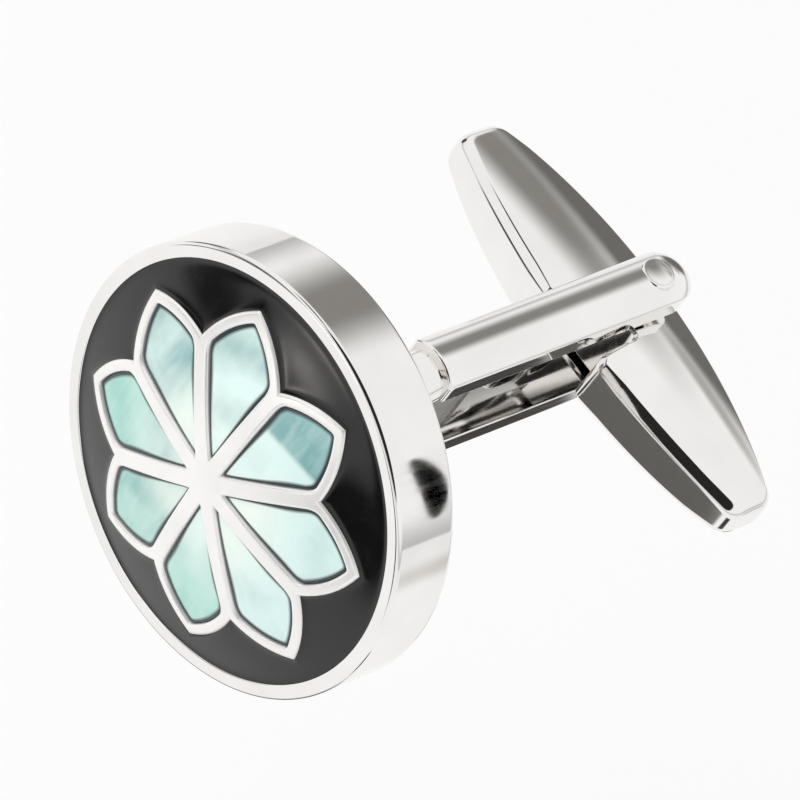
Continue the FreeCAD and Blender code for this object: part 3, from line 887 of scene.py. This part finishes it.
def neck(plan, sheets, sign):
    """A neck: its section carried from the foot's socket, with a ramp eased at both bends."""
    in_socket = 1.2
    in_bar = 0.5
    ease = 0.35
    y = np.linspace(plan.collar_y - in_socket, plan.step_y + in_bar, 64)[:, None]
    slope = plan.arm_inner_z / (plan.step_y - plan.neck_y)
    rise = [(y - bend + np.sqrt((y - bend) ** 2 + ease ** 2)) / 2 for bend in (plan.neck_y, plan.step_y)]
    inner = slope * (rise[0] - rise[1])
    section = neck_section(plan)
    points = joined(section[:, 0], y, sign * (inner + section[:, 1]))
    ends = [np.broadcast_to(row.mean(axis=0), row.shape)[None] for row in (points[0], points[-1])]
    sheets.grid(np.concatenate([ends[0], points, ends[1]]), close_columns=True)


class CUFFLINK_OT_arms(Step, bpy.types.Operator):
    """Bend the arms: a half-round bar round the pivot's end and a leaning neck, above and below"""

    bl_idname = "cufflink.arms"
    bl_label = "Arms"

    def make(self, plan):
        for node, sign in (("arm_upper", 1), ("arm_lower", -1)):
            sheets = Sheets()
            arm_bar(plan, sheets, sign)
            neck(plan, sheets, sign)
            sheets.place(node + "_formed", "polished_plating", node)


class CUFFLINK_OT_pin(Step, bpy.types.Operator):
    """Close the pin: a half section with a low-crowned, round-edged head at each end goes round the axis"""

    bl_idname = "cufflink.pin"
    bl_label = "Hinge pin"

    def make(self, plan):
        head_r = 0.7
        proud = 0.06
        crown_r = 0.56
        crown_drop = 0.05
        edge = 0.12
        side_drop = 0.3
        top = plan.arm_outer_z + proud
        crown = np.linspace(0.0, crown_r, 9)
        half = np.concatenate([
            joined(crown, top - crown_drop * (crown / crown_r) ** 2),
            arc_points((head_r - edge, top - crown_drop - edge), edge, 90, 0, 8),
            run_points((head_r, top - side_drop), (head_r, plan.arm_side_z), 3),
            run_points((plan.pin_r, plan.arm_side_z), (plan.pin_r, 0.0), 4),
        ])
        profile = np.concatenate([half, half[-2::-1] * (1, -1)])
        sheets = Sheets()
        sheets.grid(turned(profile, 64)[..., [0, 2, 1]] + (0.0, plan.pivot_y, 0.0), close_rows=True)
        sheets.place("pin_closed", "polished_plating", "hinge_pin")


class CUFFLINK_OT_detent(bpy.types.Operator):
    """Give the block, the leaf and its rivet between the arms their bare steel"""

    bl_idname = "cufflink.detent"
    bl_label = "Detent"

    def execute(self, context):
        steels = (("detent_block", "drawn_steel"), ("detent_spring", "spring_steel"),
                  ("spring_rivet", "spring_steel"))
        for name, steel in steels:
            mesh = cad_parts[name].data
            mesh.materials.clear()
            mesh.materials.append(finish(steel))
        return {"FINISHED"}


# Toggle

class Hull:
    """The toggle's boat shape: two arcs seen along the pin, and a flank that is part of a ring. Its side
    outline is a closed loop of the deck's line, one tip, the outer line and the other tip."""

    def __init__(self, plan):
        self.plan = plan
        self.deck_radius = arc_radius(plan.toggle_half, plan.tip_y - plan.tip_depth / 2 - plan.deck_y)
        self.outer_radius = arc_radius(plan.toggle_half, plan.outer_y - plan.tip_y - plan.tip_depth / 2)
        self.plan_radius = arc_radius(plan.toggle_half, plan.toggle_side - plan.tip_half)
        self.flank_radius = 6.0
        self.deck_line = self.deck_chain()
        self.tip_line = self.tip_chain()
        outer_line = self.outer_chain()
        other_tip = self.tip_line * (-1, 1)
        self.loop = np.concatenate([self.deck_line, self.tip_line, outer_line[::-1], other_tip[::-1]])

    def deck(self, x):
        """Height of the deck's arc at a place along the toggle."""
        return self.plan.deck_y + self.deck_radius - np.sqrt(self.deck_radius ** 2 - x ** 2)

    def outer(self, x):
        """Height of the outer arc at a place along the toggle."""
        return self.plan.outer_y - self.outer_radius + np.sqrt(self.outer_radius ** 2 - x ** 2)

    def flank(self, x, y):
        """Half width: an arc across the flank, swung about a far axis that runs along the post."""
        across = np.sqrt(self.flank_radius ** 2 - (y - self.plan.tip_y) ** 2) - self.flank_radius
        centre = self.plan.toggle_side - self.plan_radius
        return centre + np.sqrt((self.plan_radius + across) ** 2 - x ** 2)

    def nose(self, radius):
        """Where a round meets an arc of the side outline and the end: its centre's rise, and how far it
        turns."""
        reach = self.plan.toggle_half - self.plan.nose
        rise = radius - math.sqrt((radius - self.plan.nose) ** 2 - reach ** 2)
        return rise, math.degrees(math.acos(reach / (radius - self.plan.nose)))

    def tip_chain(self):
        """One tip of the side outline: a round from the deck, the end, and a round to the outer line."""
        half = self.plan.toggle_half
        ease = self.plan.nose
        rise, turn = self.nose(self.deck_radius)
        fall, back = self.nose(self.outer_radius)
        low = self.plan.deck_y + rise
        high = self.plan.outer_y - fall
        return np.concatenate([
            arc_points((half - ease, low), ease, -turn, 0, NOSE_STEPS)[:-1],
            run_points((half, low), (half, high), 50),
            arc_points((half - ease, high), ease, 0, back, NOSE_STEPS)[1:],
        ])

    def last_x(self, radius):
        """Where an arc of the side outline ends at the nose's round, a little short of it."""
        turn = math.radians(self.nose(radius)[1])
        short = 0.03
        return self.plan.toggle_half - self.plan.nose * (1 - math.cos(turn)) - short

    def deck_chain(self):
        """The deck's line from one tip to the other, down round the notch over the hub and up again."""
        notch_play = 0.25
        hub_wall = 0.75
        shoulder = 0.5
        corner = 0.15
        clear = 0.05
        half = self.plan.arm_half + notch_play
        floor = self.plan.pivot_y - self.plan.pin_r - hub_wall
        lip = float(self.deck(half + shoulder))
        x = np.linspace(self.last_x(self.deck_radius), half + shoulder + clear, 80)
        right = np.concatenate([
            joined(x, self.deck(x)),
            arc_points((half + shoulder, lip + shoulder), shoulder, 270, 180, 12),
            run_points((half, lip + shoulder + 2 * clear), (half, floor - corner - clear), 8),
            arc_points((half - corner, floor - corner), corner, 0, 90, 6),
            run_points((half - 2 * corner, floor), (0.0, floor), 8),
        ])
        return np.concatenate([right * (-1, 1), right[-2::-1]])

    def outer_chain(self):
        """The outer line from one tip to the other, with its points spread as they are along the deck's line,
        and wider over the notch."""
        step = np.hypot(*np.diff(self.deck_line, axis=0).T)
        middle_x = (self.deck_line[1:, 0] + self.deck_line[:-1, 0]) / 2
        widened = 1.6
        stretch = np.where(np.abs(middle_x) < self.plan.arm_half, widened, 1.0)
        run = np.concatenate([[0.0], np.cumsum(stretch * step)])
        x = self.last_x(self.outer_radius) * (2 * run / run[-1] - 1)
        return joined(x, self.outer(x))


def inward_normals(loop):
    """Unit normals that point into a closed loop of pairs which runs anticlockwise: square to the circle
    through each point and its two neighbours."""
    ahead = np.roll(loop, -1, axis=0) - loop
    ahead /= (ahead ** 2).sum(axis=1)[:, None]
    along = ahead + np.roll(ahead, 1, axis=0)
    along /= np.hypot(along[:, 0], along[:, 1])[:, None]
    return joined(-along[:, 1], along[:, 0])


def bevel_steps(size, ease):
    """Section of a bevel with both edges eased: how far each step lies in from the side outline, and how far
    it is drawn in from the flank."""
    turn = np.radians(np.linspace(0.0, 45.0, 8))
    reach = (size + ease * math.tan(math.pi / 8))[:, None]
    start = ease[:, None] * (1 - np.cos(turn))
    end = reach - ease[:, None] * np.sin(turn)
    depth = np.concatenate([start, end[:, ::-1]], axis=1)
    drawn = np.concatenate([end, start[:, ::-1]], axis=1)
    return depth, drawn


def smoothed(values, reach=14):
    """Running mean round a closed loop."""
    return np.mean([np.roll(values, step) for step in range(-reach, reach + 1)], axis=0)


def toggle_edges(hull):
    """The eased bevel round the side outline: its plan pairs and half widths, fine in the notch, wide at the
    noses."""
    along = np.abs(hull.loop[:, 0])
    on_deck = np.arange(len(hull.loop)) < len(hull.deck_line)
    notch_reach = hull.plan.arm_half + 0.6
    in_notch = on_deck & (along < notch_reach)
    at_nose = along > hull.last_x(hull.deck_radius)
    size = np.select([in_notch, at_nose], [0.12, 0.3], 0.25)
    ease = np.select([in_notch, at_nose, on_deck], [0.06, 0.5, 0.18], 0.2)
    depth, drawn = bevel_steps(smoothed(size), smoothed(ease))
    flat = hull.loop[:, None, :] + inward_normals(hull.loop)[:, None, :] * depth[..., None]
    return flat, hull.flank(flat[..., 0], flat[..., 1]) - drawn


def toggle_band(hull, half_width):
    """Deck, tips and outer face: the side outline carried across, with a bowl sunk in one tip."""
    bowl_r = 0.27
    bowl_depth = 0.3
    tip_x = 0.05 - hull.plan.toggle_half
    x, y = hull.loop.T[..., None]
    z = half_width * np.linspace(-1.0, 1.0, 45)
    inside = np.clip(1 - (np.hypot(y - hull.plan.tip_y, z) / bowl_r) ** 2, 0.0, 1.0)
    return joined(x + np.where(x < tip_x, bowl_depth * inside ** 1.5, 0.0), y, z)


def toggle_sides(hull, seam):
    """A flank's plan pairs: straight rungs from the deck's seam to the outer seam, between the two tips."""
    count = len(hull.deck_line)
    tip_count = len(hull.tip_line)
    right = count + np.arange(tip_count)
    left = right + count + tip_count
    outer = np.arange(2 * count + tip_count - 1, count + tip_count - 1, -1)
    low = np.concatenate([left[-NOSE_STEPS:], np.arange(count), right[:NOSE_STEPS]])
    high = np.concatenate([left[NOSE_STEPS - 1::-1], outer, right[:-NOSE_STEPS - 1:-1]])
    share = np.linspace(0.0, 1.0, tip_count - 2 * NOSE_STEPS + 2)[:, None]
    flat = seam[low][:, None, :] * (1 - share) + seam[high][:, None, :] * share
    end = slice(NOSE_STEPS - 1, 1 - NOSE_STEPS)
    flat[0] = seam[left[end][::-1]]
    flat[-1] = seam[right[end]]
    return flat


def bored(flat, centre, radius):
    """Opens a round hole in a grid of pairs: the edge of a block of cells about a centre is drawn straight
    in or out to a circle, and what is left inside is gathered at one point of it."""
    half_rows = 3
    half_columns = 9
    row = len(flat) // 2
    column = int(np.argmin(np.abs(flat[row, :, 1] - centre[1])))
    rows = slice(row - half_rows, row + half_rows + 1)
    columns = slice(column - half_columns, column + half_columns + 1)
    away = flat[rows, columns] - centre
    ring = centre + radius * away / np.maximum(np.hypot(away[..., 0], away[..., 1]), 1e-6)[..., None]
    ring[1:-1, 1:-1] = ring[0, 0]
    flat[rows, columns] = ring
    keep = np.ones((flat.shape[0] - 1, flat.shape[1] - 1), dtype=bool)
    keep[rows.start:rows.stop - 1, columns.start:columns.stop - 1] = False
    return keep, np.concatenate([ring[:-1, 0], ring[-1, :-1], ring[:0:-1, -1], ring[0, :0:-1]])


class CUFFLINK_OT_toggle(Step, bpy.types.Operator):
    """Form the toggle: its side outline is carried across as deck, tips and outer face, each edge is eased
    or bevelled onto the flanks, and rungs from deck to outer line lie on the ring-shaped flanks, which are
    bored for the pin"""

    bl_idname = "cufflink.toggle"
    bl_label = "Toggle"

    def make(self, plan):
        hull = Hull(plan)
        edge_flat, edge_z = toggle_edges(hull)
        side_flat = toggle_sides(hull, edge_flat[:, -1])
        keep, bore = bored(side_flat, np.array([0.0, plan.pivot_y]), plan.bore)
        side_z = hull.flank(side_flat[..., 0], side_flat[..., 1])
        bore_x, bore_y = bore.T[..., None]
        sheets = Sheets()
        sheets.grid(toggle_band(hull, edge_z[:, :1]), close_rows=True)
        sheets.grid(joined(bore_x, bore_y, hull.flank(bore_x, bore_y) * np.linspace(1.0, -1.0, 9)),
                    close_rows=True)
        for sign in (1, -1):
            sheets.grid(joined(edge_flat[..., 0], edge_flat[..., 1], sign * edge_z), close_rows=True)
            sheets.grid(joined(side_flat[..., 0], side_flat[..., 1], sign * side_z), keep=keep)
        sheets.place("toggle_formed", "polished_plating", "toggle_bar", body=TOGGLE_BODY, crease=40.0)


# Stage

# Lamps: direction in the photograph's axes, side in metres and power in watts
SOFT_BOXES = {
    "box_above": ((0.1, 0.85, 0.52), 0.25, 0.36),
    "box_right": ((0.93, 0.33, 0.15), 0.16, 0.12),
    "box_front": ((-0.32, 0.45, 0.83), 0.2, 0.46),
}

# Cards round the cufflink: direction in the photograph's axes, distance in metres, half angles across and up
# in degrees, level of light, and the share of the way to its edge where it starts to fade
FAR_CARDS = {
    "card_behind": ((0.0, 0.05, 1.0), 0.45, 38, 38, 0.02, 0.8),
    "card_above": ((0.45, 0.87, -0.15), 0.25, 27, 23, 0.26, 0.2),
    "card_beyond": ((0.52, 0.62, -0.59), 0.26, 23, 23, 0.16, 0.5),
    "card_flank": ((0.713, 0.6, -0.28), 0.25, 7, 12, 0.45, 0.2),
    "card_bevel": ((-0.93, 0.19, 0.28), 0.15, 16, 14, 0.05, 0.6),
    "card_edge": ((-0.21, 0.75, 0.64), 0.2, 13, 13, 0.05, 0.6),
    "card_corner": ((-0.5, 0.78, -0.33), 0.2, 14, 14, 0.06, 0.5),
    "card_beige": ((0.8, -0.47, -0.37), 0.12, 7, 12, 0.6, 0.2),
}

# Cards that lie flat: place across the floor and lift over it in millimetres, half widths, level and fade
LOW_CARDS = {
    "card_deck": ((4.0, 1.5, 24.5), 14.0, 6.5, 0.13, 0.5),
    "card_front": ((10.0, -85.0, 2.5), 30.0, 40.0, 0.03, 0.5),
    "card_left": ((-62.0, -76.0, 2.5), 30.0, 30.0, 0.08, 0.5),
    "card_tip": ((41.0, 3.0, 2.5), 12.0, 12.0, 0.05, 0.5),
    "card_under": ((15.8, 40.5, 2.5), 5.0, 8.5, 0.06, 0.8),
    "glow_left": ((-43.0, -143.0, 2.5), 27.0, 27.0, 5.0, 0.1),
}


def view_way(right, up, back):
    """A direction given in the photograph's axes, in the part's frame."""
    return (VIEW_RIGHT * right + VIEW_UP * up + VIEW_BACK * back).normalized()


def facing(way, side, point):
    """Place at a point, with local Z back along a direction and local X as near as can be to a side."""
    across = (side - way * side.dot(way)).normalized()
    turn = Matrix((across, way.cross(across).normalized(), way)).transposed().to_4x4()
    return Matrix.Translation(point) @ turn


def shown(tree, share, first, second, output):
    """Sends two shaders, mixed by a share, to a tree's output."""
    mix = tree.nodes.new("ShaderNodeMixShader")
    for source, socket in zip((share, first.outputs[0], second.outputs[0]), mix.inputs):
        tree.links.new(source, socket)
    tree.links.new(mix.outputs[0], output.inputs["Surface"])


def glow(name, level, soft):
    """Light of one grey level, which fades out towards the edge of its card."""
    material = bpy.data.materials.new(name)
    material.use_nodes = True
    tree = material.node_tree
    tree.nodes.clear()
    light = add_node(tree, "ShaderNodeEmission", Color=(1.0, 0.97, 0.92, 1.0), Strength=level)
    clear = tree.nodes.new("ShaderNodeBsdfTransparent")
    fade = spread(tree, carried(tree, "edge_share"), 0.0, 1.0, soft, 1.0, smooth=True)
    shown(tree, fade, light, clear, tree.nodes.new("ShaderNodeOutputMaterial"))
    return material


def card(name, spot, wide, high, level, soft):
    """An oval card that only glossy surfaces see: rings about its middle, out to two half widths in
    millimetres."""
    share = np.linspace(0.0, 1.0, 17)[:, None]
    flat = share[..., None] * ways_at(full_turn(48)) * (wide, high)
    turn = np.array(spot.to_3x3())
    sheets = Sheets()
    sheets.grid(flat @ turn[:, :2].T + np.array(spot.translation) / MM, close_columns=True,
                value=np.broadcast_to(share, flat.shape[:2]))
    mesh = sheets.mesh(name, ("edge_share",))
    mesh.materials.append(glow(name, level, soft))
    piece = bpy.data.objects.new(name, mesh)
    bpy.context.scene.collection.objects.link(piece)
    piece.visible_camera = False
    piece.visible_diffuse = False
    piece.visible_shadow = False
    piece.visible_transmission = False


def far_card(name, axes, away, wide, high, level, soft):
    """A card at a distance in a direction, as wide and high as two half angles in degrees."""
    way = view_way(*axes)
    half_wide, half_high = (math.tan(math.radians(angle)) * away / MM for angle in (wide, high))
    card(name, facing(way, VIEW_UP.cross(way), VIEW_POINT + way * away), half_wide, half_high, level, soft)


def low_card(name, place, wide, deep, level, soft):
    """A card that lies flat over the floor."""
    card(name, Matrix.Translation(Vector(place) * MM + Vector((0.0, 0.0, FLOOR_Z))), wide, deep, level, soft)


def rim_card():
    """A narrow black card that the rim mirrors as a dark spot, at a distance from a point on the rim."""
    rim_point = Vector((5.73, -1.03, 6.28))
    way = Vector((0.675, 0.652, 0.3425))
    side = Vector((-0.4525, 0.0, 0.892))
    away = 12.0
    spot = facing(way, side, (rim_point + way * away) * MM)
    card("card_rim", spot, wide=4.0, high=0.55, level=0.0, soft=0.9)


def soft_box(name, axes, size, power):
    """A square lamp that the metal doesn't mirror."""
    lamp = bpy.data.lights.new(name, "AREA")
    lamp.shape = "SQUARE"
    lamp.size = size
    lamp.energy = power
    box = bpy.data.objects.new(name, lamp)
    way = view_way(*axes)
    away = 0.35
    box.matrix_world = facing(way, VIEW_UP.cross(way), VIEW_POINT + way * away)
    box.visible_glossy = False
    bpy.context.scene.collection.objects.link(box)


def seeing_rays(tree):
    """The share of rays by which something is seen, in a mirror too, and of those from the camera itself."""
    path = tree.nodes.new("ShaderNodeLightPath").outputs
    direct = maths(tree, "MAXIMUM", path["Is Camera Ray"], path["Is Glossy Ray"])
    return maths(tree, "MAXIMUM", direct, path["Is Transmission Ray"]), path["Is Camera Ray"]


def studio_world(level):
    """Even pale light; the camera and the metal see it as the white of the picture, and the metal also sees
    the studio's greyer walls low round the horizon."""
    world = bpy.data.worlds.new("studio")
    world.use_nodes = True
    tree = world.node_tree
    tree.nodes.clear()
    seen, by_camera = seeing_rays(tree)
    split = tree.nodes.new("ShaderNodeSeparateXYZ")
    tree.links.new(tree.nodes.new("ShaderNodeTexCoord").outputs["Generated"], split.inputs["Vector"])
    rise = spread(tree, split.outputs["Z"], 0.0, 1.0, -0.02, 0.26, smooth=True)
    open_sky = maths(tree, "MAXIMUM", rise, by_camera)
    white = add_node(tree, "ShaderNodeBackground", Strength=1.0)
    tree.links.new(mixed(tree, open_sky, scaled(level, 0.55), level), white.inputs["Color"])
    fill = add_node(tree, "ShaderNodeBackground", Color=(1.0, 1.0, 1.0, 1.0), Strength=0.66)
    shown(tree, seen, fill, white, tree.nodes.new("ShaderNodeOutputWorld"))
    bpy.context.scene.world = world


def floor_finish(level):
    """Matt floor that takes the shadow, lifted to the background's white for the camera and the metal."""
    material, tree, shader = new_material("pale_floor", Roughness=0.9, Specular_IOR_Level=0.0)
    grain = object_noise(tree, 60.0, 3.0)
    tree.links.new(mixed(tree, grain, level, scaled(level, 0.97)), shader.inputs["Base Color"])
    lifted = maths(tree, "MULTIPLY", seeing_rays(tree)[0], 0.8)
    white = add_node(tree, "ShaderNodeEmission", Color=(*level, 1.0), Strength=1.0)
    shown(tree, lifted, shader, white, tree.nodes["Material Output"])
    return material


def lay_floor(level):
    """A wide square floor under the part."""
    reach = 20.0
    corners = [(x * reach, y * reach, FLOOR_Z) for x, y in ((-1, -1), (1, -1), (1, 1), (-1, 1))]
    mesh = bpy.data.meshes.new("floor")
    mesh.from_pydata(corners, [], [(0, 1, 2, 3)])
    mesh.materials.append(floor_finish(level))
    floor = bpy.data.objects.new("floor", mesh)
    bpy.context.scene.collection.objects.link(floor)


def set_camera(scene):
    """The photograph's camera, at a distance in metres from the middle of the picture."""
    away = 0.3
    camera_data = bpy.data.cameras.new("view")
    camera_data.sensor_width = 36.0
    camera_data.lens = 379.7
    camera_data.clip_start = 0.01
    camera = bpy.data.objects.new("view", camera_data)
    camera.matrix_world = facing(VIEW_BACK, VIEW_RIGHT, VIEW_POINT + VIEW_BACK * away)
    scene.collection.objects.link(camera)
    scene.camera = camera


class CUFFLINK_OT_stage(bpy.types.Operator):
    """Set the stage: floor, even light, soft boxes, cards for the metal and the photograph's camera"""

    bl_idname = "cufflink.stage"
    bl_label = "Stage"

    def execute(self, context):
        level = tuple(context.scene.cufflink_colours.floor)
        lay_floor(level)
        studio_world(level)
        for name, row in SOFT_BOXES.items():
            soft_box(name, *row)
        for name, row in FAR_CARDS.items():
            far_card(name, *row)
        rim_card()
        for name, row in LOW_CARDS.items():
            low_card(name, *row)
        set_camera(context.scene)
        context.scene.view_settings.view_transform = "Standard"
        return {"FINISHED"}


class CUFFLINK_PT_panel(bpy.types.Panel):
    """Sizes, colours and steps of the cufflink."""

    bl_idname = "CUFFLINK_PT_panel"
    bl_label = "Cufflink"
    bl_space_type = "VIEW_3D"
    bl_region_type = "UI"
    bl_category = "Cufflink"

    def draw(self, context):
        for group in (context.scene.cufflink_sizes, context.scene.cufflink_colours):
            box = self.layout.box()
            for name in group.__annotations__:
                box.prop(group, name)
        for step in STEPS:
            self.layout.operator(step.bl_idname)


STEPS = (
    CUFFLINK_OT_head,
    CUFFLINK_OT_enamel,
    CUFFLINK_OT_flower,
    CUFFLINK_OT_petals,
    CUFFLINK_OT_foot,
    CUFFLINK_OT_arms,
    CUFFLINK_OT_pin,
    CUFFLINK_OT_detent,
    CUFFLINK_OT_toggle,
    CUFFLINK_OT_stage,
)
CLASSES = (CufflinkSizes, CufflinkColours, *STEPS, CUFFLINK_PT_panel)


def register():
    for kind in CLASSES:
        bpy.utils.register_class(kind)
    bpy.types.Scene.cufflink_sizes = bpy.props.PointerProperty(type=CufflinkSizes)
    bpy.types.Scene.cufflink_colours = bpy.props.PointerProperty(type=CufflinkColours)


def unregister():
    del bpy.types.Scene.cufflink_colours
    del bpy.types.Scene.cufflink_sizes
    for kind in reversed(CLASSES):
        bpy.utils.unregister_class(kind)


def main():
    register()
    bpy.ops.cufflink.head()
    bpy.ops.cufflink.enamel()
    bpy.ops.cufflink.flower()
    bpy.ops.cufflink.petals()
    bpy.ops.cufflink.foot()
    bpy.ops.cufflink.arms()
    bpy.ops.cufflink.pin()
    bpy.ops.cufflink.detent()
    bpy.ops.cufflink.toggle()
    bpy.ops.cufflink.stage()


if __name__ == "__main__":
    main()
